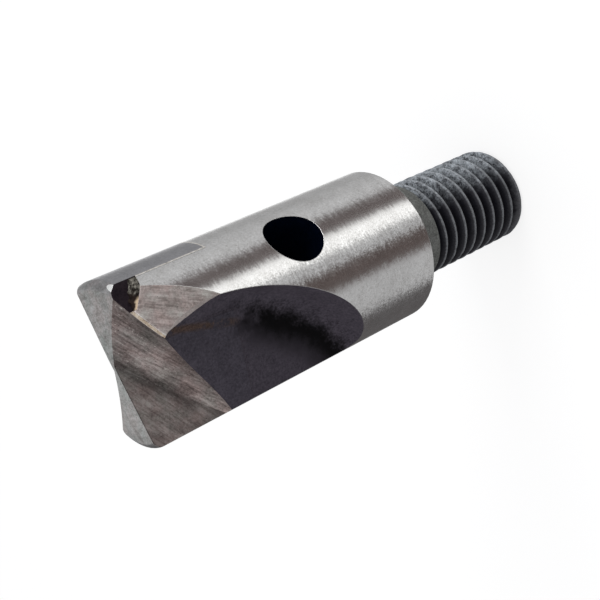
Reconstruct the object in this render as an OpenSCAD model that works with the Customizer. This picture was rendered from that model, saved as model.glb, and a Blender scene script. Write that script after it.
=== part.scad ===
// Rivet shaver cutter: a ground steel body on a threaded shank, with one carbide plate
// brazed into a slot across its front and ground to two cutting lips.
// It stands on the end of its shank. Z runs along the axis toward the cutting end, the
// lips lie along X, and every cut on the front repeats after half a turn about Z.

/* [Body] */
// Diameter of the ground body
body_diameter = 9.525; // [7:0.025:14]
// Length of the body, from its shoulder to the outer corners of the lips
body_length = 19.6; // [16:0.1:32]
// Width of the bevel that breaks the rim of the shoulder
rim_bevel = 0.08; // [0.02:0.01:0.3]

/* [Threaded shank] */
// Length of the shank, from its end to the shoulder
shank_length = 10.5; // [6:0.1:18]
// Diameter over the crests of the thread
thread_diameter = 6.2; // [4:0.05:8]
// Distance from one crest to the next
thread_pitch = 0.907; // [0.7:0.001:1.3]
// Depth of the thread from crest to root
thread_depth = 0.52; // [0.3:0.01:0.7]
// Width of the flat on each crest
crest_width = 0.16; // [0.08:0.01:0.3]
// Length of the plain neck between the thread and the shoulder
neck_length = 2.35; // [1:0.05:4]
// How far the neck stands out beyond the crests
neck_step = 0.01; // [0:0.01:0.1]
// Bevel on the end of the shank
end_bevel = 0.14; // [0.05:0.01:0.5]
// Turn of the thread's start about the axis
thread_phase = 155; // [-180:5:180]

/* [Carbide plate] */
// Thickness of the plate
plate_thickness = 5.83; // [4:0.01:6.6]
// Depth of the plate behind the lips
plate_depth = 6.35; // [5:0.05:9]
// Thickness of the braze between the plate and its slot
braze_gap = 0.1; // [0.05:0.01:0.3]
// Radius on the outer corner of each lip
corner_radius = 0.55; // [0.1:0.05:0.8]
// Bevel where the back of each lip meets the outside
heel_break = 0.22; // [0.15:0.01:0.5]

/* [Lips] */
// Distance of each cutting edge ahead of the centre line
lip_offset = 0.12; // [0.05:0.01:0.3]
// How far the centre stands above the outer corners
lip_rise = 0.07; // [0.02:0.01:0.4]
// Relief angle behind each cutting edge
relief_angle = 4; // [2:0.5:10]
// Backward lean of each rake face
rake_lean = 3; // [0:0.5:8]

/* [Gashes] */
// Radius of the rounded rim on the wheel that grinds each gash
gash_nose = 5.47; // [3:0.01:7]
// Radius of that wheel, to the centre of its rounded rim
gash_wheel_radius = 13.8; // [10:0.1:20]
// Direction in which each gash runs out from the centre
gash_heading = 167.5; // [150:0.05:180]
// Angle at which each gash dives below the lips
gash_dive = 29.4; // [20:0.05:40]
// Roll of the gash wall about the line of the gash
gash_roll = 34.9; // [10:0.05:45]
// Tilt of the wheel's centre from the line across the gash
gash_tilt = -88.9; // [-100:0.1:-60]
// Distance of each gash wall from the centre point
gash_clearance = 0.03; // [0.02:0.01:0.3]

/* [Flutes] */
// Radius of the flat face of the wheel that cuts each flute
flute_wheel_radius = 10.84; // [8:0.01:18]
// Radius on the edge of that wheel
flute_corner = 1.82; // [0.5:0.01:2.5]
// Outward lean of the flute's wall
flute_wall_lean = 25.7; // [10:0.1:45]
// Thickness of steel left between the floors of the two flutes
web_thickness = 5.14; // [4:0.01:7]
// Turn of each flute floor from the line of the lips
flute_turn = 25.2; // [10:0.1:35]
// How far each flute floor reaches past the centre line
flute_reach = 1.24; // [0.5:0.01:2.5]
// Distance of the wheel's centre behind the lips
flute_setback = 3.31; // [0:0.01:7]

/* [Heel facets] */
// Direction that each steel facet behind a lip faces
heel_heading = -105; // [-130:0.5:-90]
// Upward tilt of that facet
heel_tilt = 24.7; // [15:0.1:40]
// Distance of that facet from the centre point
heel_distance = 1.79; // [1.4:0.01:2.4]
// Depth of the missing corner of steel beside each lip, where it starts
notch_length = 1.05; // [0.6:0.05:2.5]
// Distance of that missing corner from the axis
notch_start = 2.1; // [1.5:0.05:3]
// Slope of the missing corner's floor, down toward the outside
notch_slope = 27; // [0:1:45]

/* [Wrench hole] */
// Diameter of the hole through the body
hole_diameter = 3.45; // [2:0.05:4]
// Distance of the hole behind the lips
hole_setback = 11.15; // [9.6:0.05:14]
// Direction of the hole about the axis, from the line of the lips
hole_heading = -61.3; // [-70:0.1:-50]

/* [Hidden] */
body_r = body_diameter / 2;
crest_r = thread_diameter / 2;
root_r = crest_r - thread_depth;
neck_r = crest_r + neck_step;
shoulder_z = shank_length;
top_z = shoulder_z + body_length;
centre_z = top_z + lip_rise;
thread_top = shank_length - neck_length;
half_slot = plate_thickness / 2 + braze_gap;
plate_base = top_z - plate_depth;
slot_base = plate_base - braze_gap;
lip_slope = atan(lip_rise / body_r);
wheel_offset = flute_wheel_radius - flute_reach;
corner_blend = corner_radius / 50;
hole_z = top_z - hole_setback;
reach = 6 * body_r;
steps_per_turn = 24;
round_faces = 96;

// Puts its children on the body and again half a turn round.
module both_sides() {
    for (turn = [0, 180])
        rotate([0, 0, turn])
            children();
}

// Everything on one side of a plane: a large block that starts at the origin and fills +X.
module half_space() {
    translate([0, -reach, -reach])
        cube(2 * reach);
}

// Outline of the turned blank, drawn as radius against height.
module blank_profile() {
    polygon([
        [0, 0],
        [root_r, 0],
        [root_r, thread_top],
        [neck_r, thread_top],
        [neck_r, shoulder_z],
        [body_r - rim_bevel, shoulder_z],
        [body_r, shoulder_z + rim_bevel],
        [body_r, centre_z],
        [0, centre_z]
    ]);
}

module turned_blank() {
    rotate_extrude($fn = round_faces)
        blank_profile();
}

// Point of the thread at a step along the helix, with its radius and its height
// above the middle of the ridge.
function helix_point(step, radius, rise) = [
    radius * cos(360 * step / steps_per_turn),
    radius * sin(360 * step / steps_per_turn),
    thread_pitch * (0.5 + step / steps_per_turn) + rise
];

// One right-hand ridge, from below the end of the shank into the neck.
module thread_ridge() {
    last = floor(steps_per_turn * (thread_top / thread_pitch + 2));
    inner_r = root_r - 0.12;
    foot = thread_pitch / 2 - 0.03;
    points = [
        for (step = [0 : last])
            each [
                helix_point(step, inner_r, -foot),
                helix_point(step, crest_r, -crest_width / 2),
                helix_point(step, crest_r, crest_width / 2),
                helix_point(step, inner_r, foot)
            ]
    ];
    sides = [
        for (step = [0 : last - 1])
            for (edge = [0 : 3])
                let (a = 4 * step + edge, b = 4 * step + (edge + 1) % 4)
                    each [[a, b, b + 4], [a, b + 4, a + 4]]
    ];
    ends = [
        [2, 1, 0],
        [3, 2, 0],
        [4 * last, 4 * last + 1, 4 * last + 2],
        [4 * last, 4 * last + 2, 4 * last + 3]
    ];
    rotate([0, 0, thread_phase])
        translate([0, 0, -1.5 * thread_pitch])
            polyhedron(points, concat(sides, ends), convexity = 10);
}

// The ridge cut square at the end of the shank and at the neck, with the bevel on its crest.
module thread() {
    intersection() {
        thread_ridge();
        rotate_extrude($fn = round_faces)
            polygon([
                [0, 0],
                [crest_r - end_bevel, 0],
                [crest_r + end_bevel, 2 * end_bevel],
                [crest_r + end_bevel, thread_top + 0.05],
                [0, thread_top + 0.05]
            ]);
    }
}

// Slot across the front that holds the plate and its braze.
module slot() {
    translate([-reach, -half_slot, slot_base])
        cube([2 * reach, 2 * half_slot, reach]);
}

module plate_blank() {
    translate([-reach, -plate_thickness / 2, plate_base])
        cube([2 * reach, plate_thickness, reach]);
}

// The plate is ground to the body's own diameter.
module plate_round() {
    translate([0, 0, plate_base])
        cylinder(h = plate_depth + lip_rise, r = body_r, $fn = round_faces);
}

// Rounds the outer corner of each lip. The ring leans with the relief, so the corner
// falls away behind the cutting edge.
module lip_corners() {
    both_sides()
        intersection() {
            translate([half_slot / 2, -reach, plate_base])
                cube(2 * reach);
            translate([0, 0, top_z - corner_radius])
                rotate([relief_angle, 0, 0])
                    rotate_extrude($fn = round_faces)
                        difference() {
                            translate([body_r - corner_radius, 0])
                                square(3 * corner_radius);
                            translate([body_r - corner_radius + corner_blend, corner_blend])
                                circle(corner_radius, $fn = 48);
                        }
        }
}

// Relief ground behind each lip: the plane falls away from the cutting edge.
module relief_cuts() {
    both_sides()
        translate([0, lip_offset, centre_z])
            rotate([relief_angle, lip_slope, 0])
                translate([-reach, -reach, 0])
                    cube(2 * reach);
}

// Gash in front of each lip: a flat rake face and a hollow wall that meets it in a valley.
// The wall is the mark of the round rim of one large wheel.
module gash_cuts() {
    both_sides()
        intersection() {
            translate([0, 0, centre_z])
                rotate([gash_roll, gash_dive, gash_heading])
                    translate([0, gash_nose + gash_clearance, 0])
                        rotate([gash_tilt, 0, 0])
                            translate([0, gash_wheel_radius, 0])
                                rotate_extrude($fn = 2 * round_faces)
                                    translate([gash_wheel_radius, 0])
                                        circle(gash_nose, $fn = round_faces);
            translate([0, -lip_offset, top_z])
                rotate([-rake_lean, 0, 0])
                    rotate([0, 0, -90])
                        half_space();
        }
}

// Flute behind each lip, as the flat face and the rounded edge of a wheel leave it.
module flute_cuts() {
    wall_x = flute_corner * cos(flute_wall_lean);
    wall_y = flute_corner * (1 - sin(flute_wall_lean));
    both_sides()
        rotate([0, 0, -90 - flute_turn])
            translate([web_thickness / 2, -wheel_offset, top_z - flute_setback])
                rotate([0, 90, 0])
                    rotate_extrude($fn = 2 * round_faces) {
                        polygon([
                            [0, 0],
                            [flute_wheel_radius, 0],
                            [flute_wheel_radius + wall_x, wall_y],
                            [flute_wheel_radius + wall_x + (reach - wall_y) * tan(flute_wall_lean), reach],
                            [0, reach]
                        ]);
                        translate([flute_wheel_radius, flute_corner])
                            circle(flute_corner, $fn = 48);
                    }
}

// Flat on the steel behind each lip, which clears the work.
module heel_facets() {
    both_sides()
        translate([0, 0, top_z])
            rotate([0, -heel_tilt, heel_heading])
                translate([heel_distance, 0, 0])
                    half_space();
}

// Thin corner of steel beside each lip that is missing, so the plate shows there.
module missing_corners() {
    both_sides()
        intersection() {
            translate([notch_start, -reach - plate_thickness / 2, slot_base])
                cube(reach);
            translate([notch_start, 0, top_z - notch_length])
                rotate([0, notch_slope, 0])
                    translate([-reach, -reach, 0])
                        cube(2 * reach);
        }
}

// Small bevel at the back of each lip, where three ground faces meet.
module heel_breaks() {
    corner_x = sqrt(pow(body_r, 2) - pow(plate_thickness / 2, 2));
    drop = plate_thickness / 2 * tan(relief_angle);
    both_sides()
        translate([corner_x, -plate_thickness / 2, top_z - drop])
            rotate([0, -35, -45])
                translate([-heel_break, 0, 0])
                    half_space();
}

module wrench_hole() {
    translate([0, 0, hole_z])
        rotate([0, 90, hole_heading])
            cylinder(h = 2 * reach, d = hole_diameter, center = true, $fn = round_faces);
}

module cutter_body() {
    color([0.66, 0.65, 0.64]) {
        difference() {
            turned_blank();
            slot();
            wrench_hole();
            relief_cuts();
            gash_cuts();
            flute_cuts();
            heel_facets();
            missing_corners();
        }
        thread();
    }
}

module carbide_plate() {
    color([0.45, 0.45, 0.48])
        difference() {
            intersection() {
                plate_blank();
                plate_round();
            }
            relief_cuts();
            gash_cuts();
            flute_cuts();
            lip_corners();
            heel_breaks();
        }
}

module braze_joint() {
    color([0.86, 0.76, 0.55])
        difference() {
            intersection() {
                slot();
                turned_blank();
            }
            plate_blank();
            relief_cuts();
            gash_cuts();
            flute_cuts();
            heel_facets();
            missing_corners();
        }
}

cutter_body();
carbide_plate();
braze_joint();
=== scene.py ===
import math

import bpy
import bmesh
from mathutils import Matrix, Vector, noise


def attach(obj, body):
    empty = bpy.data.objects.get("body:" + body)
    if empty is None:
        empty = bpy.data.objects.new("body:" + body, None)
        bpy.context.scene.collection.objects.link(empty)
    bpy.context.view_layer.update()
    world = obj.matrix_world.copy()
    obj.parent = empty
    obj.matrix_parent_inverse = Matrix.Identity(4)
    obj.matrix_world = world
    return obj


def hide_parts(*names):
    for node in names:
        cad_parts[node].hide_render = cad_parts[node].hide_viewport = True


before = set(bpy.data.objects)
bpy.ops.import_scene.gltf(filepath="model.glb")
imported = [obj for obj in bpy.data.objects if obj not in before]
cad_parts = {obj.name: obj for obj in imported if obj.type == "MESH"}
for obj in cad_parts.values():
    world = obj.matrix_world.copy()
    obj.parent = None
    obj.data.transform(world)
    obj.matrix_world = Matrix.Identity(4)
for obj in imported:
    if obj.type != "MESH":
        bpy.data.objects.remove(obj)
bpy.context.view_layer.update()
scene = bpy.context.scene

MM = 0.001
UP = (0.0, 0.0, 1.0)


def heading(angle, tilt=0.0):
    """Unit vector at an angle round the axis, tilted up from level."""
    return Vector((math.cos(angle) * math.cos(tilt), math.sin(angle) * math.cos(tilt), math.sin(tilt)))


# Sizes of the part in millimetres, as the solids have them. The end of the shank is at height 0, and
# THREAD_PHASE is the heading in degrees at which the thread's crest lies there.
BODY_R = 4.7625
SHOULDER_Z = 10.5
TOP_Z = 30.1
CREST_R = 3.1
ROOT_R = 2.58
NECK_R = 3.11
NECK_Z = 8.15
PITCH = 0.907
CREST_HALF = 0.08
THREAD_PHASE = 155
END_BEVEL = 0.14
HALF_PLATE = 2.915
BRAZE_GAP = 0.1
HOLE_R = 1.725
HOLE_Z = 18.95
HALF_WEB = 2.57
FLUTE_WHEEL_Z = 26.79
FLUTE_WHEEL_Y = 9.6
HEEL_DISTANCE = 1.79

# Directions of the cuts on the near side.
HOLE_AXIS = heading(math.radians(-61.3))
FLUTE_HEADING = math.radians(-115.2)
FLUTE_NORMAL = heading(FLUTE_HEADING)
FLUTE_ALONG = heading(FLUTE_HEADING + math.pi / 2)
HEEL_NORMAL = heading(math.radians(-105), math.radians(24.7))
RAKE_LEAN = math.radians(3)
RAKE_NORMAL = Vector((0, -math.cos(RAKE_LEAN), math.sin(RAKE_LEAN)))
GLINT_NORMAL = Vector((0.579, -0.579, 0.574))

# A missing corner of steel: where its floor starts, across and up, the floor's slope, and how far below the
# top it reaches.
NOTCH_X = 2.1
NOTCH_Z = 29.05
NOTCH_SLOPE = math.tan(math.radians(27))
NOTCH_REACH = 2.4

# The valley between a gash wall and its rake face: a point on it, its direction, the direction in which it
# bends, the point's distance from the tip, where the bend starts, its slope, a shift of the whole line, and
# where its painted shade ends.
VALLEY = Vector((-1.899, -0.251, 28.117))
VALLEY_RUN = Vector((-0.831, -0.031, -0.555))
VALLEY_SIDE = Vector((-0.555, 0.0, 0.831))
TIP_TO_VALLEY = 2.68
BEND_RUN = 3.4
BEND_SLOPE = 0.11
BEND_SHIFT = 0.15
VALLEY_END = 5.5

# The lip's height at the axis, and its slope outward.
LIP_Z = 30.17
LIP_SLANT = 0.015

# The black finish of a flute stops at this plane, beside the heel facet, but only above these heights.
FINISH_EDGE = Vector((0.370, -3.013, 28.265))
FINISH_SIDE = Vector((0.956, -0.132, 0.260))
FINISH_Z = (24.6, 24.8)

# A brown smear of flux runs straight back from the braze, bends away below SMEAR_BEND_Z and fades out.
SMEAR_X = 0.37
SMEAR_BEND_Z = 27.6
SMEAR_SLANT = 0.24
SMEAR_FADE_Z = (23.2, 24.4)

# Distances from the flute wheel's axis: where the painted shade at the foot of the wall starts and stops,
# and where the paler rim comes in.
FOOT_SHADE_START = (8.8, 10.8)
FOOT_SHADE_STOP = (12.2, 11.0)
RIM = (11.2, 12.4)

# The drawn thread: the fall of its flanks, the rounding of its crests and roots, its dents and its mesh.
FLANK_SLOPE = 1.86
ROUNDING = 0.035
DENT_DEPTH = 0.05
WAVE_DEPTH = 0.012
THREAD_STEPS = 180
THREAD_ROWS = 170

# The rubble on the floor of a missing corner: where it ends, its height at the plate, its distance from the
# start of the floor, its margin at the plate, at the outside and under the floor, and its mesh.
RUBBLE_END_X = 3.70
RUBBLE_HEAP = 0.45
RUBBLE_INSET = 0.02
RUBBLE_MARGIN = 0.01
RUBBLE_COLUMNS = 40
RUBBLE_ROWS = 16

# Edges sharper than these angles keep a hard line in shading, on the dressed solids and on the thread.
SHARP_SOLID = math.radians(22)
SHARP_THREAD = math.radians(50)
# Vertices of a solid's mesh that are this close, in metres, are joined.
WELD = 1e-7


class Graph:
    """Short calls for making nodes, in a material or in the world."""

    def __init__(self, tree):
        self.tree = tree
        self.tree.nodes.clear()

    def link(self, value, socket):
        """Join a socket to another one, or set its value."""
        if isinstance(value, bpy.types.NodeSocket):
            self.tree.links.new(value, socket)
        elif isinstance(value, tuple) and len(value) == 3 and socket.type == "RGBA":
            socket.default_value = (*value, 1.0)
        else:
            socket.default_value = value

    def new(self, kind, **settings):
        node = self.tree.nodes.new(kind)
        for name, value in settings.items():
            setattr(node, name, value)
        return node

    def vec(self, operation, a, b=None, scale=None):
        node = self.new("ShaderNodeVectorMath", operation=operation)
        self.link(a, node.inputs[0])
        if b is not None:
            self.link(b, node.inputs[1])
        if scale is not None:
            self.link(scale, node.inputs["Scale"])
        return node.outputs["Value" if operation in ("DOT_PRODUCT", "LENGTH") else "Vector"]

    def calc(self, operation, a, b=0.0):
        node = self.new("ShaderNodeMath", operation=operation)
        self.link(a, node.inputs[0])
        self.link(b, node.inputs[1])
        return node.outputs[0]

    def dot(self, vector, direction):
        return self.vec("DOT_PRODUCT", vector, tuple(direction))

    def add(self, *terms):
        total = terms[0]
        for term in terms[1:]:
            total = self.calc("ADD", total, term)
        return total

    def sub(self, a, b):
        return self.calc("SUBTRACT", a, b)

    def mul(self, *factors):
        product = factors[0]
        for factor in factors[1:]:
            product = self.calc("MULTIPLY", product, factor)
        return product

    def around(self, value, gain):
        """A noise value moved to swing about zero, times a gain."""
        return self.mul(self.sub(value, 0.5), gain)

    def less(self, value, part):
        """One minus a part of the value."""
        return self.sub(1.0, self.mul(value, part))

    def split(self, vector):
        node = self.new("ShaderNodeSeparateXYZ")
        self.link(vector, node.inputs[0])
        return node.outputs

    def join(self, x, y, z):
        node = self.new("ShaderNodeCombineXYZ")
        for value, socket in zip((x, y, z), node.inputs):
            self.link(value, socket)
        return node.outputs[0]

    def noise(self, vector, scale, detail=2.0, rough=0.5):
        node = self.new("ShaderNodeTexNoise")
        self.link(vector, node.inputs["Vector"])
        node.inputs["Scale"].default_value = scale
        node.inputs["Detail"].default_value = detail
        node.inputs["Roughness"].default_value = rough
        return node.outputs["Fac"]

    def cells(self, vector, scale):
        node = self.new("ShaderNodeTexVoronoi")
        self.link(vector, node.inputs["Vector"])
        node.inputs["Scale"].default_value = scale
        return node.outputs["Distance"]

    def ramp(self, fac, *stops):
        node = self.new("ShaderNodeValToRGB")
        elements = node.color_ramp.elements
        while len(elements) < len(stops):
            elements.new(0.5)
        for element, (place, colour) in zip(elements, stops):
            element.position = place
            element.color = (*colour, 1.0)
        self.link(fac, node.inputs[0])
        return node.outputs[0]

    def step(self, value, low, high, to_low=0.0, to_high=1.0):
        """A soft step between two values."""
        node = self.new("ShaderNodeMapRange", interpolation_type="SMOOTHSTEP")
        if low > high:
            low, high, to_low, to_high = high, low, to_high, to_low
        for number, socket in zip((value, low, high, to_low, to_high), node.inputs):
            self.link(number, socket)
        return node.outputs[0]

    def mix(self, fac, a, b):
        node = self.new("ShaderNodeMix", data_type="RGBA")
        self.link(fac, node.inputs[0])
        self.link(a, node.inputs[6])
        self.link(b, node.inputs[7])
        return node.outputs[2]

    def dim(self, colour, factor):
        """A colour times a number."""
        return self.vec("SCALE", colour, scale=factor)

    def bump(self, height, distance, strength=1.0, normal=None):
        """A normal tilted by a height, whose distance is in millimetres."""
        node = self.new("ShaderNodeBump")
        node.inputs["Strength"].default_value = strength
        node.inputs["Distance"].default_value = distance * MM
        self.link(height, node.inputs["Height"])
        if normal is not None:
            self.link(normal, node.inputs["Normal"])
        return node.outputs[0]

    def soft_edges(self, radius):
        """A normal that rounds the edges, with a radius in millimetres."""
        node = self.new("ShaderNodeBevel", samples=6)
        node.inputs["Radius"].default_value = radius * MM
        return node.outputs[0]

    def streaks(self, place, direction, stretch, fine, detail=3.0, rough=0.6):
        """Noise drawn out along a direction."""
        d = Vector(direction).normalized()
        a = d.orthogonal().normalized()
        b = d.cross(a)
        parts = [self.dot(place, v) for v in (d, a, b)]
        drawn = self.join(self.mul(parts[0], stretch), self.mul(parts[1], fine), self.mul(parts[2], fine))
        return self.noise(drawn, 1.0, detail, rough)

    def shader(self, kind, colour=None, strength=None):
        """A shader of one colour or strength."""
        node = self.new(kind)
        if colour is not None:
            self.link(colour, node.inputs["Color"])
        if strength is not None:
            self.link(strength, node.inputs["Strength"])
        return node.outputs[0]

    def mix_shader(self, fac, a, b):
        node = self.new("ShaderNodeMixShader")
        for value, socket in zip((fac, a, b), node.inputs):
            self.link(value, socket)
        return node.outputs[0]


class Material(Graph):
    """A material with object coordinates in millimetres."""

    def __init__(self, name):
        self.mat = bpy.data.materials.new(name)
        self.mat.use_nodes = True
        super().__init__(self.mat.node_tree)
        self.out = self.new("ShaderNodeOutputMaterial")
        coords = self.new("ShaderNodeTexCoord")
        self.mm = self.vec("SCALE", coords.outputs["Object"], scale=1 / MM)

    def side(self):
        """One on the near side and minus one on the far side."""
        y = self.split(self.mm)[1]
        return self.less(self.calc("GREATER_THAN", y, 0.0), 2.0)

    def folded(self):
        """Coordinates with the far half turned onto the near one, as the cuts on the front repeat."""
        x, y, z = self.split(self.mm)
        side = self.side()
        return self.join(self.mul(x, side), self.mul(y, side), z)

    def heel_facing(self):
        """The heel facet's normal, on the near side and on the far one."""
        level = self.vec("SCALE", (HEEL_NORMAL.x, HEEL_NORMAL.y, 0.0), scale=self.side())
        return self.vec("ADD", level, (0.0, 0.0, HEEL_NORMAL.z))

    def surface(self, **sockets):
        """End the material in one shader. A socket's name has _ for each space."""
        node = self.new("ShaderNodeBsdfPrincipled")
        for name, value in sockets.items():
            self.link(value, node.inputs[name.replace("_", " ")])
        self.link(node.outputs[0], self.out.inputs[0])
        return self.mat


def ground_round(name, dark, mid, light, roughness=0.24):
    """Cylindrically ground metal: fine lines round the axis that fray the edges of each reflection."""
    g = Material(name)
    x, y, _ = g.split(g.mm)
    outward = g.vec("NORMALIZE", g.join(x, y, 0.0))
    around = g.vec("CROSS_PRODUCT", UP, outward)
    comb = g.noise(g.vec("MULTIPLY", g.mm, (1.1, 1.1, 6.5)), 1.0, 4.0, 0.75)
    grain = g.noise(g.mm, 6.5, 3.0, 0.75)
    grit = g.noise(g.mm, 15.0, 1.0, 0.5)
    cloud = g.noise(g.mm, 0.9, 3.0, 0.6)
    # The texture sways the normal round the axis and lifts it along the axis. Edges turn it over as well.
    sway = g.add(g.around(comb, 0.16), g.around(grain, 0.12), g.around(grit, 0.12))
    lift = g.add(g.around(grit, 0.16), g.around(grain, 0.12))
    normal = g.vec("ADD", outward, g.vec("SCALE", around, scale=sway))
    normal = g.vec("ADD", normal, g.vec("SCALE", UP, scale=lift))
    geometry = g.new("ShaderNodeNewGeometry")
    turned = g.vec("SUBTRACT", g.soft_edges(0.06), geometry.outputs["Normal"])
    normal = g.vec("NORMALIZE", g.vec("ADD", normal, turned))
    shade = g.add(
        0.5, g.around(grain, 0.6), g.around(grit, 0.5), g.around(comb, 0.35), g.around(cloud, 0.4),
    )
    tangent = g.new("ShaderNodeTangent", direction_type="RADIAL", axis="Z")
    return g.surface(
        Base_Color=g.ramp(shade, (0.2, dark), (0.5, mid), (0.8, light)), Metallic=1.0, Roughness=roughness,
        Anisotropic=0.5, Anisotropic_Rotation=0.25, Tangent=tangent.outputs[0], Normal=normal,
    )


def flute_oxide(name, low, high):
    """Matte black finish in the flutes, with painted shade at the foot of the curved wall, a paler rim, a
    smear of flux, and bare steel beside the heel facet.
    """
    g = Material(name)
    place = g.folded()
    x, _, z = g.split(place)
    blot = g.noise(g.mm, 1.1, 4.0, 0.6)
    grain = g.noise(g.mm, 7.0, 3.0, 0.75)
    shade = g.add(0.5, g.around(grain, 1.6), g.around(blot, 0.6))
    colour = g.ramp(shade, (0.15, low), (0.85, high))
    # Painted shade in the hollow foot of the curved wall, and a paler rim, from the distance and angle
    # round the wheel's axis.
    across = g.add(g.dot(place, FLUTE_ALONG), FLUTE_WHEEL_Y)
    drop = g.sub(z, FLUTE_WHEEL_Z)
    rho = g.calc("SQRT", g.add(g.mul(across, across), g.mul(drop, drop)))
    swing = g.calc("ARCTAN2", drop, across)
    ragged = g.add(rho, g.around(blot, 1.5), g.around(grain, 1.3), g.step(swing, -1.1, -0.4, 0.0, 0.2))
    foot_shade = g.mul(g.step(ragged, *FOOT_SHADE_START), g.step(ragged, *FOOT_SHADE_STOP))
    foot_shade = g.mul(foot_shade, g.step(g.add(swing, g.around(blot, 0.5)), -0.2, -0.5, 0.1, 1.0))
    rim = g.step(rho, *RIM, 1.0, 1.22)
    colour = g.dim(colour, g.mul(rim, g.less(foot_shade, 0.95)))
    # The smear of flux, with a broken texture.
    bend = g.mul(g.calc("MINIMUM", g.sub(z, SMEAR_BEND_Z), 0.0), SMEAR_SLANT)
    beside = g.calc("ABSOLUTE", g.sub(g.sub(x, SMEAR_X), bend))
    smear = g.mul(g.step(g.add(beside, g.around(grain, 0.2)), 0.3, 0.05), g.step(z, *SMEAR_FADE_Z))
    smear = g.mul(smear, g.step(g.add(blot, g.around(grain, 0.3)), 0.38, 0.52))
    flux = g.ramp(shade, (0.2, (0.036, 0.024, 0.020)), (0.8, (0.100, 0.064, 0.050)))
    colour = g.mix(g.mul(smear, 0.9), colour, flux)
    # Bare steel beyond the edge of the finish. Its normal is turned nearly to the heel facet's.
    beyond = g.dot(g.vec("SUBTRACT", place, tuple(FINISH_EDGE)), FINISH_SIDE)
    bare = g.mul(g.step(g.add(beyond, g.around(grain, 0.06)), -0.01, 0.01), g.step(z, *FINISH_Z))
    steel = g.ramp(shade, (0.2, (0.42, 0.38, 0.37)), (0.8, (0.68, 0.62, 0.60)))
    colour = g.mix(bare, colour, steel)
    own = g.vec("SCALE", g.soft_edges(0.05), scale=g.less(bare, 0.9))
    facing = g.vec("ADD", own, g.vec("SCALE", g.heel_facing(), scale=bare))
    return g.surface(
        Base_Color=colour, Metallic=bare, Roughness=0.6, Specular_IOR_Level=0.06,
        Normal=g.bump(g.add(grain, blot), 0.01, 0.6, g.vec("NORMALIZE", facing)),
    )


def plain_oxide(name, low, high, grit=0.6, shine=0.3):
    """A dull finish between two colours, with grain and clouds."""
    g = Material(name)
    cloud = g.noise(g.mm, 1.6, 4.0, 0.6)
    grain = g.noise(g.mm, 9.0, 3.0, 0.7)
    shade = g.add(0.5, g.around(grain, 2.0 * grit), g.around(cloud, 0.8))
    return g.surface(
        Base_Color=g.ramp(shade, (0.2, low), (0.8, high)), Metallic=0.0, Roughness=0.55,
        Specular_IOR_Level=shine, Normal=g.bump(g.add(grain, cloud), 0.01, 0.5, g.soft_edges(0.05)),
    )


def thread_oxide():
    """Black oxide thread: painted shade darkens the roots, the crests are paler from rubbing and a painted
    highlight, and the side toward the light is painted paler, with scuffs.
    """
    g = Material("thread_oxide")
    x, y, z = g.split(g.mm)
    level = g.join(x, y, 0.0)
    cloud = g.noise(g.mm, 1.8, 4.0, 0.65)
    grain = g.noise(g.mm, 9.0, 3.0, 0.75)
    drag = g.noise(g.vec("MULTIPLY", g.mm, (2.2, 2.2, 4.0)), 1.0, 5.0, 0.75)
    # 0 in the roots and 1 on the crests.
    depth = g.calc("DIVIDE", g.sub(g.vec("LENGTH", level), ROOT_R), CREST_R - ROOT_R)
    depth = g.add(depth, g.around(grain, 0.1))
    # Painted shade darkens the roots, and the crests are paler from rubbing and a painted highlight.
    black = g.ramp(
        depth, (0.0, (0.0015, 0.0015, 0.003)), (0.5, (0.010, 0.010, 0.014)), (0.86, (0.036, 0.036, 0.042)),
        (0.99, (0.21, 0.217, 0.23)),
    )
    # Painted light: the side toward the light is paler, together with scuffs there.
    lit_side = g.dot(g.vec("NORMALIZE", level), heading(math.radians(-22)))
    lit_side = g.step(g.add(lit_side, g.around(cloud, 0.5)), 0.45, 1.0)
    scuff_and_light = g.mul(g.step(g.add(drag, g.around(grain, 0.5)), 0.28, 0.66), lit_side)
    worn_and_lit = g.mul(scuff_and_light, g.step(depth, 0.05, 0.8, 0.45, 1.0))
    colour = g.mix(worn_and_lit, black, (0.42, 0.455, 0.49))
    # Grey over the last half millimetre.
    end = g.step(g.add(z, g.around(cloud, 0.8)), 0.6, 0.1)
    colour = g.mix(g.mul(end, 0.8), colour, (0.125, 0.125, 0.135))
    colour = g.dim(colour, g.add(1.0, g.around(grain, 1.5), g.around(cloud, 0.9)))
    return g.surface(
        Base_Color=colour, Metallic=0.0, Roughness=0.46, Specular_IOR_Level=0.12,
        Normal=g.bump(g.add(g.mul(grain, 0.6), drag), 0.02, 0.7),
    )


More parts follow.
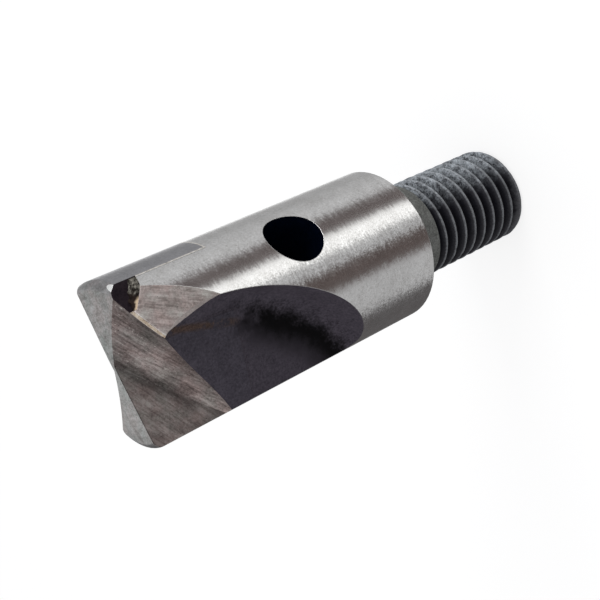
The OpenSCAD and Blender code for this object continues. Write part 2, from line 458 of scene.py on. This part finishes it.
def ground_flat(name, dark, mid, light, direction, rough=0.4, metal=1.0, streak=1.0, contrast=1.0,
                shade=None, edge=0.05, flecks=0.0):
    """A ground face: streaks along the wheel's travel, grain, pits and bright flecks."""
    g = Material(name)
    near = g.folded()
    fine = g.streaks(near, direction, 0.8, 7.0, 4.0, 0.7)
    broad = g.streaks(near, direction, 0.35, 2.4, 3.0, 0.6)
    cloud = g.noise(g.mm, 1.3, 4.0, 0.65)
    grain = g.noise(g.mm, 8.0, 3.0, 0.75)
    tone = g.add(
        0.5, g.around(fine, 1.1 * streak * contrast), g.around(broad, 0.9 * streak * contrast),
        g.around(cloud, 0.7 * contrast), g.around(grain, 0.9 * contrast),
    )
    colour = g.ramp(tone, (0.12, dark), (0.5, mid), (0.88, light))
    # A slow change between a warm cast and a cool one.
    stain = g.noise(near, 0.75, 3.0, 0.6)
    cast = g.ramp(stain, (0.38, (1.04, 0.985, 0.98)), (0.5, (1.0, 1.0, 1.0)), (0.62, (0.94, 1.0, 0.985)))
    colour = g.vec("MULTIPLY", colour, cast)
    if shade:
        colour = g.dim(colour, shade(g, near))
    pits = g.mul(g.step(g.cells(near, 4.5), 0.16, 0.09), g.step(g.noise(near, 1.9, 1.0), 0.5, 0.6))
    colour = g.dim(colour, g.less(pits, 0.7))
    if flecks:
        spots = g.mul(g.step(g.noise(near, 6.5, 2.0, 0.7), 0.62, 0.72), g.step(broad, 0.42, 0.6))
        colour = g.mix(g.mul(spots, flecks), colour, (0.75, 0.70, 0.66))
    height = g.add(fine, g.mul(grain, 0.6), g.mul(pits, -1.5))
    return g.surface(
        Base_Color=colour, Metallic=metal, Roughness=rough,
        Normal=g.bump(height, 0.006, 0.8, g.soft_edges(edge) if edge else None),
    )


def from_valley(g, near):
    """Distance from the valley, which bends near the tip, and distance along it from the tip."""
    offset = g.vec("SUBTRACT", near, tuple(VALLEY))
    run = g.dot(offset, VALLEY_RUN)
    rest = g.vec("SUBTRACT", offset, g.vec("SCALE", tuple(VALLEY_RUN), scale=run))
    run = g.add(run, TIP_TO_VALLEY)
    bend = g.add(g.mul(g.calc("MAXIMUM", g.sub(BEND_RUN, run), 0.0), BEND_SLOPE), BEND_SHIFT)
    return g.vec("LENGTH", g.vec("SUBTRACT", rest, g.vec("SCALE", tuple(VALLEY_SIDE), scale=bend))), run


def gash_shade(g, near):
    """Painted shade, darkest on the valley line where the wall meets the rake face; also darker at the far
    edge and the tip, and a little paler further out.
    """
    away, run = from_valley(g, near)
    away = g.add(away, g.around(g.noise(near, 1.5, 3.0, 0.6), 0.35))
    dark = g.mul(g.step(away, 0.95, 0.0), g.step(run, VALLEY_END, 4.3))
    back = g.step(g.add(away, g.mul(run, 0.2)), 1.9, 2.7, 1.0, 0.72)
    tip = g.step(run, 1.5, -0.7, 1.0, 0.6)
    outer = g.step(run, 2.8, 4.2, 1.0, 1.18)
    return g.mul(back, tip, outer, g.less(dark, 0.64))


def rake_shade(g, near):
    """Painted shade, darkest on the valley line where the rake face meets the wall; also dark at the outer
    end and its top corner, with a dark line at the lip.
    """
    away, run = from_valley(g, near)
    away = g.add(away, g.around(g.noise(near, 1.7, 3.0, 0.6), 0.25))
    dark = g.mul(g.step(away, 0.6, 0.0), g.step(run, VALLEY_END, 4.4))
    end = g.step(run, 4.9, 6.0, 1.0, 0.6)
    x, _, z = g.split(near)
    below = g.sub(g.add(g.mul(x, LIP_SLANT), LIP_Z), z)
    lip = g.step(below, 0.02, 0.08, 0.5, 1.0)
    corner = g.mul(g.step(x, -3.5, -4.3), g.step(z, 29.1, 29.7))
    return g.mul(end, lip, g.less(dark, 0.56), g.less(corner, 0.3))


def heel_shade(g, near):
    """Painted light across the facet: a little paler toward the missing corner."""
    return g.step(g.split(near)[0], 2.3, -1.5, 1.06, 0.86)


def braze_metal(name, low, mid, high, void=0.5):
    """Silver braze: lumpy, with small dark voids."""
    g = Material(name)
    lumps = g.noise(g.mm, 4.5, 3.0, 0.65)
    voids = g.step(g.noise(g.mm, 1.9, 3.0, 0.6), 0.40, 0.34)
    colour = g.ramp(lumps, (0.3, low), (0.52, mid), (0.72, high))
    colour = g.mix(g.mul(voids, void), colour, (0.03, 0.025, 0.022))
    return g.surface(Base_Color=colour, Metallic=0.6, Roughness=0.42, Normal=g.bump(lumps, 0.02, 0.7))


def broken_steel():
    """Broken steel: brown and black near the braze, crumbly and pale outside, with braze on its rim."""
    g = Material("broken_steel")
    near = g.folded()
    crumb = g.noise(g.mm, 5.0, 3.0, 0.8)
    cloud = g.noise(g.mm, 2.2, 3.0, 0.6)
    # Darker near the braze, inside the missing corner, and paler toward the outside.
    dark_inside = g.ramp(cloud, (0.35, (0.004, 0.0025, 0.002)), (0.65, (0.035, 0.021, 0.016)))
    pale = g.ramp(
        crumb, (0.38, (0.012, 0.010, 0.008)), (0.5, (0.085, 0.079, 0.066)), (0.64, (0.28, 0.265, 0.23)),
    )
    x, y, _ = g.split(near)
    outward = g.sub(x, g.mul(g.add(y, HALF_PLATE), 0.9))
    outer = g.step(g.add(outward, g.around(cloud, 1.0)), 2.95, 3.4)
    colour = g.mix(outer, dark_inside, pale)
    under = g.dot(g.vec("SUBTRACT", near, (0.0, 0.0, TOP_Z)), HEEL_NORMAL)
    rim = g.step(g.add(under, g.around(crumb, 0.06)), HEEL_DISTANCE - 0.09, HEEL_DISTANCE - 0.04)
    rim = g.mul(rim, g.step(x, 2.75, 2.45))
    colour = g.mix(rim, colour, (0.75, 0.58, 0.40))
    return g.surface(
        Base_Color=colour, Metallic=0.0, Roughness=0.6, Specular_IOR_Level=0.1,
        Normal=g.bump(crumb, 0.03, 0.8),
    )


HEEL_RUN = (-0.5, -0.27, -0.82)
GASH_RUN = tuple(VALLEY_RUN)

# The look of each kind of face. Its colours run from dark to light.
MATS = {
    "od": ground_round("ground_steel", (0.50, 0.49, 0.48), (0.72, 0.715, 0.715), (0.94, 0.94, 0.945)),
    "strip": ground_round(
        "ground_carbide_strip", (0.26, 0.26, 0.28), (0.39, 0.39, 0.412), (0.53, 0.53, 0.56), 0.3),
    "flute": flute_oxide("flute_oxide", (0.037, 0.032, 0.042), (0.084, 0.073, 0.091)),
    "flute_plate": flute_oxide("flute_oxide_plate", (0.038, 0.034, 0.044), (0.084, 0.075, 0.094)),
    "flute_braze": flute_oxide("flute_oxide_braze", (0.038, 0.032, 0.042), (0.083, 0.072, 0.088)),
    # The hole's wall: black oxide, painted far darker than the oxide elsewhere as painted shade inside the
    # hole.
    "hole": plain_oxide("hole_oxide_and_shade", (0.0004, 0.0010, 0.004), (0.002, 0.0045, 0.014), shine=0.01),
    "neck": plain_oxide("neck_oxide", (0.060, 0.062, 0.057), (0.190, 0.195, 0.185), 0.8),
    "shoulder": plain_oxide("shoulder_oxide", (0.10, 0.10, 0.10), (0.22, 0.22, 0.22), 0.5),
    "thread": thread_oxide(),
    "heel": ground_flat(
        "ground_heel_steel", (0.36, 0.31, 0.295), (0.66, 0.59, 0.57), (0.95, 0.88, 0.86), HEEL_RUN,
        shade=heel_shade, contrast=1.2),
    "relief": ground_flat(
        "relief_carbide", (0.12, 0.118, 0.113), (0.24, 0.237, 0.232), (0.37, 0.365, 0.37), (0.1, 1.0, 0.0),
        rough=0.36, streak=0.4, contrast=1.5),
    "gash": ground_flat(
        "gash_carbide", (0.13, 0.11, 0.105), (0.32, 0.27, 0.26), (0.58, 0.51, 0.495), GASH_RUN,
        shade=gash_shade, flecks=0.6, contrast=1.05, edge=0.0),
    "rake": ground_flat(
        "rake_carbide", (0.16, 0.135, 0.13), (0.31, 0.27, 0.26), (0.48, 0.43, 0.42), GASH_RUN,
        shade=rake_shade, flecks=0.3, contrast=1.1, edge=0.0),
    "corner": ground_flat(
        "corner_carbide", (0.13, 0.127, 0.127), (0.225, 0.221, 0.225), (0.34, 0.333, 0.337),
        (0.0, 1.0, 0.0), rough=0.32, streak=0.5, contrast=1.5, metal=0.45),
    # The small bevel at the heel is painted nearly white, far paler than the carbide, as a painted
    # highlight for its glint.
    "glint": ground_flat(
        "heel_break_glint", (0.75, 0.75, 0.75), (0.9, 0.9, 0.9), (1.0, 1.0, 1.0), UP,
        rough=0.3, contrast=0.3, edge=0.01),
    "raw": plain_oxide("raw_carbide", (0.009, 0.006, 0.009), (0.028, 0.020, 0.025), 0.6, 0.06),
    "broken": broken_steel(),
    "braze": braze_metal("silver_braze", (0.50, 0.38, 0.28), (0.80, 0.68, 0.54), (0.97, 0.90, 0.78)),
    "thin_braze": braze_metal(
        "ground_braze", (0.44, 0.42, 0.38), (0.68, 0.65, 0.61), (0.90, 0.88, 0.84), 0.8),
    # Darker braze at the missing corner.
    "dull_braze": braze_metal("dark_braze", (0.02, 0.014, 0.01), (0.07, 0.05, 0.035), (0.20, 0.15, 0.10)),
}


# The zone functions choose the look of a face from its middle p, in millimetres, and its normal n. Turned
# half round to the near side, these are q and m. A number beside a size is slack in millimetres, and a
# number beside a normal is a cosine.


def fold(p, n):
    """A place and normal turned half round if they lie on the far side, so that one set of tests serves."""
    return (p, n) if p.y <= 0 else (Vector((-p.x, -p.y, p.z)), Vector((-n.x, -n.y, n.z)))


def outward_part(p, n):
    """How much of a normal points away from the axis."""
    return n.dot(Vector((p.x, p.y, 0)).normalized())


def on_side(p, n, slack=0.04, outward=0.97):
    """Whether a face lies on the ground side. The middle of a flat face lies a little inside the round."""
    return math.hypot(p.x, p.y) > BODY_R - slack and outward_part(p, n) > outward


def at_notch(q, slack):
    """Whether a place on the near side lies at the missing corner."""
    return q.x > NOTCH_X - slack and q.z > TOP_Z - NOTCH_REACH


def body_zone(p, n):
    """The look of a face of the steel."""
    r = math.hypot(p.x, p.y)
    if p.z < SHOULDER_Z - 0.01 and r < CREST_R + 0.06:
        return "neck"
    if p.z < SHOULDER_Z + 0.1 and r < BODY_R - 0.02:
        return "shoulder" if n.z < -0.9 else "od"
    off = Vector((p.x, p.y, p.z - HOLE_Z))
    if (off - HOLE_AXIS * off.dot(HOLE_AXIS)).length < HOLE_R + 0.02 and abs(n.dot(HOLE_AXIS)) < 0.2:
        return "hole"
    if on_side(p, n):
        return "od"
    q, m = fold(p, n)
    from_heel = (q - Vector((0, 0, TOP_Z))).dot(HEEL_NORMAL) - HEEL_DISTANCE
    if m.dot(HEEL_NORMAL) > 0.995 and abs(from_heel) < 0.03:
        return "heel"
    if abs(abs(m.y) - 1) < 0.01 and abs(abs(q.y) - HALF_PLATE - BRAZE_GAP) < 0.02:
        return "broken"
    if at_notch(q, 0.05) and q.y < -HALF_PLATE + 0.2 and m.z > 0.2:
        return "broken"
    if m.z > 0.97:
        return "relief"
    return "flute"


def plate_zone(p, n):
    """The look of a face of the carbide."""
    q, m = fold(p, n)
    near_tip = q.z > TOP_Z - 0.9
    if m.z > 0.985 and q.z > TOP_Z - 0.4:
        return "relief"
    if m.dot(RAKE_NORMAL) > 0.999 and q.x < 0.3:
        return "rake"
    if on_side(p, n):
        return "strip"
    if near_tip and abs(m.dot(GLINT_NORMAL)) > 0.99:
        return "glint"
    if near_tip and outward_part(p, n) > 0.1 and math.hypot(p.x, p.y) > BODY_R - 0.7 and m.z > 0.05:
        return "corner"
    if m.z < 0.12 and m.dot(FLUTE_NORMAL) > 0.93 and q.dot(FLUTE_NORMAL) < HALF_WEB + 0.12:
        return "flute_plate"
    if abs(abs(m.y) - 1) < 0.002 or m.z < -0.9:
        return "raw"
    return "gash"


def braze_zone(p, n):
    """The look of a face of the braze."""
    q, m = fold(p, n)
    if on_side(p, n, 0.03, 0.9):
        return "thin_braze"
    if q.z > TOP_Z - 3 and (m.z > 0.97 or m.dot(HEEL_NORMAL) > 0.98):
        return "braze"
    if at_notch(q, 0.1):
        return "dull_braze"
    return "flute_braze"


def above_thread(p):
    """Whether a face of the body lies outside the shank that is drawn again."""
    return p.z > NECK_Z + 0.03 or math.hypot(p.x, p.y) > NECK_R + 0.05


def link_piece(name, mesh, node):
    """A new piece on the root body that stands for a CAD node."""
    piece = bpy.data.objects.new(name, mesh)
    scene.collection.objects.link(piece)
    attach(piece, "root")
    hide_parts(node)
    return piece


def smooth_faces(bm):
    for face in bm.faces:
        face.smooth = True


def mark_sharp(bm, angle):
    """Hard shading at open edges and at edges sharper than the angle."""
    for edge in bm.edges:
        edge.smooth = len(edge.link_faces) == 2 and edge.calc_face_angle(0.0) < angle


def dressed(node, name, zone, keep=lambda p: True):
    """A copy of a CAD node's mesh, with a material for each ground, black, brazed or broken face."""
    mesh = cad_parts[node].data.copy()
    mesh.name = name
    bm = bmesh.new()
    bm.from_mesh(mesh)
    bmesh.ops.remove_doubles(bm, verts=bm.verts, dist=WELD)
    dropped = [face for face in bm.faces if not keep(face.calc_center_median() / MM)]
    bmesh.ops.delete(bm, geom=dropped, context="FACES")
    bm.normal_update()
    mesh.materials.clear()
    slots = {}
    for face in bm.faces:
        key = zone(face.calc_center_median() / MM, face.normal)
        if key not in slots:
            slots[key] = len(slots)
            mesh.materials.append(MATS[key])
        face.material_index = slots[key]
    smooth_faces(bm)
    mark_sharp(bm, SHARP_SOLID)
    bm.to_mesh(mesh)
    bm.free()
    piece = link_piece(name, mesh, node)
    weighted = piece.modifiers.new("even_normals", "WEIGHTED_NORMAL")
    weighted.keep_sharp = True
    weighted.weight = 90
    return piece


def thread_radius(turn, z):
    """Radius of the thread's surface, with rounded crests and roots and small dents."""
    place = z / PITCH - (turn - THREAD_PHASE) / 360
    away = abs(place - round(place)) * PITCH
    flank = CREST_R - FLANK_SLOPE * (away - CREST_HALF)
    r = -ROUNDING * math.log(math.exp(-flank / ROUNDING) + math.exp(-CREST_R / ROUNDING))
    r = ROUNDING * math.log(math.exp(r / ROUNDING) + math.exp(ROOT_R / ROUNDING))
    angle = math.radians(turn)
    spot = Vector((r * math.cos(angle), r * math.sin(angle), z))
    dent = max(0.0, noise.noise(spot * 2.3) - 0.25)
    wave = 1 + noise.noise(spot * 1.1 + Vector((9, 0, 0)))
    r -= DENT_DEPTH * dent + WAVE_DEPTH * wave
    return min(r, CREST_R - END_BEVEL + z)


def ring_of(bm, radius_at, z):
    """A ring of vertices round the axis. radius_at gives the radius at a heading in degrees."""
    ring = []
    for k in range(THREAD_STEPS):
        r = radius_at(360 * k / THREAD_STEPS)
        angle = 2 * math.pi * k / THREAD_STEPS
        ring.append(bm.verts.new((r * math.cos(angle) * MM, r * math.sin(angle) * MM, z * MM)))
    return ring


def bridge(bm, lower, upper):
    """A band of faces between two rings."""
    for k in range(len(lower)):
        n = (k + 1) % len(lower)
        bm.faces.new((lower[k], lower[n], upper[n], upper[k]))


def threaded_shank():
    """The shank up to the neck, with a flat end at the bottom and open at the top."""
    mesh = bpy.data.meshes.new("threaded_shank")
    bm = bmesh.new()
    heights = [NECK_Z * row / THREAD_ROWS for row in range(THREAD_ROWS + 1)]
    rings = [ring_of(bm, lambda turn: thread_radius(turn, z), z) for z in heights]
    rings.append(ring_of(bm, lambda turn: NECK_R, NECK_Z))
    for lower, upper in zip(rings, rings[1:]):
        bridge(bm, lower, upper)
    centre = bm.verts.new((0, 0, 0))
    for k in range(THREAD_STEPS):
        bm.faces.new((centre, rings[0][(k + 1) % THREAD_STEPS], rings[0][k]))
    smooth_faces(bm)
    bm.normal_update()
    mark_sharp(bm, SHARP_THREAD)
    bm.to_mesh(mesh)
    bm.free()
    mesh.materials.append(MATS["thread"])
    return link_piece("threaded_shank", mesh, "cutter_body")


def broken_edge(name, side):
    """Rubble of steel and braze on the floor of a missing corner, heaped against the plate."""
    mesh = bpy.data.meshes.new(name)
    bm = bmesh.new()
    wall_y = HALF_PLATE + RUBBLE_MARGIN
    length = RUBBLE_END_X - NOTCH_X - RUBBLE_INSET
    grid = []
    for i in range(RUBBLE_COLUMNS + 1):
        x = NOTCH_X + RUBBLE_INSET + length * i / RUBBLE_COLUMNS
        floor_z = NOTCH_Z - NOTCH_SLOPE * (x - NOTCH_X)
        # The heel facet's plane gives where the floor ends, and the height of the steel at the plate.
        heel_y = (HEEL_DISTANCE - HEEL_NORMAL.x * x - HEEL_NORMAL.z * (floor_z - TOP_Z)) / -HEEL_NORMAL.y
        outer_y = min(heel_y, math.sqrt(BODY_R ** 2 - x ** 2)) - RUBBLE_MARGIN
        heel_z = TOP_Z + (HEEL_DISTANCE - HEEL_NORMAL.x * x + HEEL_NORMAL.y * wall_y) / HEEL_NORMAL.z
        heap = min(RUBBLE_HEAP, RUBBLE_HEAP * (heel_z - floor_z))
        line = []
        for j in range(RUBBLE_ROWS + 1):
            across = j / RUBBLE_ROWS
            y = -wall_y - (outer_y - wall_y) * across
            spot = Vector((x, y, 3.0))
            crumbs = 0.3 * noise.noise(spot * 3.3) + 0.2 * noise.noise(spot * 8.0)
            z = floor_z - RUBBLE_MARGIN + heap * (1 - across) * (1 + crumbs)
            line.append(bm.verts.new((side * x * MM, side * y * MM, z * MM)))
        grid.append(line)
    for i in range(RUBBLE_COLUMNS):
        for j in range(RUBBLE_ROWS):
            bm.faces.new((grid[i][j], grid[i + 1][j], grid[i + 1][j + 1], grid[i][j + 1]))
    smooth_faces(bm)
    bm.normal_update()
    if sum(face.normal.z for face in bm.faces) < 0:
        bmesh.ops.reverse_faces(bm, faces=bm.faces)
    bm.to_mesh(mesh)
    bm.free()
    mesh.materials.append(MATS["broken"])
    return link_piece(name, mesh, "cutter_body")


dressed("cutter_body", "ground_body", body_zone, above_thread)
dressed("carbide_plate", "ground_plate", plate_zone)
dressed("braze_joint", "braze_line", braze_zone)
threaded_shank()
broken_edge("broken_edge_near", 1)
broken_edge("broken_edge_far", -1)


# How far the floor reaches each way, in metres. Then its grey for the light that it sends back, its grey
# where the camera sees it, and the glow that brings that to white.
FLOOR_REACH = 3
FLOOR_GREY = (0.8, 0.8, 0.8)
SEEN_GREY = (0.36, 0.36, 0.36)
FLOOR_GLOW = 0.76


def white_floor():
    """Pale floor that the camera sees as white, with the object's faint shadow."""
    g = Material("floor_white")
    plain = g.shader("ShaderNodeBsdfDiffuse", FLOOR_GREY)
    both = g.new("ShaderNodeAddShader")
    g.link(g.shader("ShaderNodeBsdfDiffuse", SEEN_GREY), both.inputs[0])
    g.link(g.shader("ShaderNodeEmission", strength=FLOOR_GLOW), both.inputs[1])
    path = g.new("ShaderNodeLightPath").outputs
    seen = g.calc("MAXIMUM", path["Is Camera Ray"], path["Is Glossy Ray"])
    seen = g.calc("MAXIMUM", seen, path["Is Transmission Ray"])
    g.link(g.mix_shader(seen, plain, both.outputs[0]), g.out.inputs[0])
    return g.mat


corners = [(FLOOR_REACH * a, FLOOR_REACH * b, 0) for a, b in ((-1, -1), (1, -1), (1, 1), (-1, 1))]
floor_mesh = bpy.data.meshes.new("floor")
floor_mesh.from_pydata(corners, [], [(0, 1, 2, 3)])
floor_mesh.materials.append(white_floor())
floor = bpy.data.objects.new("floor", floor_mesh)
# Metal shows the cards of the world in place of the floor.
floor.visible_glossy = False
scene.collection.objects.link(floor)

# Cards round the object that metal shows, each with its heading and half width in degrees, the softness of
# its edge, its brightness and its tint. Between the cards metal shows a grey surround. Higher up it shows a
# pale top, which comes in between two heights on a sphere of radius 1.
CARDS = {
    "left_flag": (-110, 15.5, 7, 0.09, (1.22, 0.95, 0.88)),
    "right_flag": (-32, 15.5, 8, 0.10, (1.2, 0.96, 0.92)),
    "bright_strip": (-62, 11.5, 7, 1.35, (1.0, 1.0, 0.98)),
    "side_card": (-6, 12, 12, 0.60, (1.0, 1.0, 1.0)),
    "back_flag": (140, 40, 10, 0.11, (1.04, 0.98, 0.98)),
    "dim_card": (42, 13, 14, 0.43, (1.0, 1.0, 1.0)),
    "rim_card": (80, 14.5, 6, 1.25, (1.0, 1.0, 1.0)),
}
SURROUND = (0.52, 0.52, 0.52)
TOP_RISE = (0.3, 0.7)
TOP_GREY = (0.9, 0.9, 0.9)
SOFT_LIGHT = (0.62, 0.62, 0.63)
WHITE = (1.0, 1.0, 1.0)


def studio():
    """The world: white for the camera, the cards for metal, and a soft even light for the rest."""
    world = bpy.data.worlds.new("studio")
    scene.world = world
    world.use_nodes = True
    g = Graph(world.node_tree)
    coords = g.new("ShaderNodeTexCoord")
    x, y, z = g.split(coords.outputs["Generated"])
    level = g.vec("NORMALIZE", g.join(x, y, 0.0))
    colour = SURROUND
    for turn, half, soft, grey, tint in CARDS.values():
        facing = g.dot(level, heading(math.radians(turn)))
        outer = math.cos(math.radians(half + soft / 2))
        inner = math.cos(math.radians(half - soft / 2))
        colour = g.mix(g.step(facing, outer, inner), colour, tuple(grey * t for t in tint))
    colour = g.mix(g.step(z, *TOP_RISE), colour, TOP_GREY)
    cards, soft_light, white = [g.shader("ShaderNodeBackground", c) for c in (colour, SOFT_LIGHT, WHITE)]
    path = g.new("ShaderNodeLightPath").outputs
    lit = g.mix_shader(path["Is Glossy Ray"], soft_light, cards)
    clear = g.calc("MAXIMUM", path["Is Camera Ray"], path["Is Transmission Ray"])
    out = g.new("ShaderNodeOutputWorld")
    g.link(g.mix_shader(clear, lit, white), out.inputs[0])


def softbox(name, place, target, size, power):
    """A rectangular lamp that faces a target."""
    lamp = bpy.data.lights.new(name, "AREA")
    lamp.shape = "RECTANGLE"
    lamp.size, lamp.size_y = size
    lamp.energy = power
    holder = bpy.data.objects.new(name, lamp)
    holder.location = place
    holder.rotation_euler = (Vector(target) - Vector(place)).to_track_quat("-Z", "Y").to_euler()
    scene.collection.objects.link(holder)


studio()
softbox("key_softbox", place=(0.22, -0.10, 0.10), target=(0, 0, 0.012), size=(0.12, 0.10), power=0.22)

# The camera that was fitted to the photo: its place, and its axes to the right, up and back.
CAMERA_PLACE = Vector((-2.2072, -54.9326, 56.2719)) * MM
CAMERA_AXES = Matrix((
    (-0.446105, -0.508600, -0.736421),
    (0.894791, -0.270423, -0.355276),
    (-0.018451, -0.817433, 0.575728),
))
camera_data = bpy.data.cameras.new("camera")
camera_data.lens = 69.0
camera_data.sensor_width = 36.0
camera_data.clip_start = 0.001
camera_data.clip_end = 10.0
camera = bpy.data.objects.new("camera", camera_data)
camera.matrix_world = Matrix.Translation(CAMERA_PLACE) @ CAMERA_AXES.transposed().to_4x4()
scene.collection.objects.link(camera)
scene.camera = camera

scene.view_settings.view_transform = "Standard"
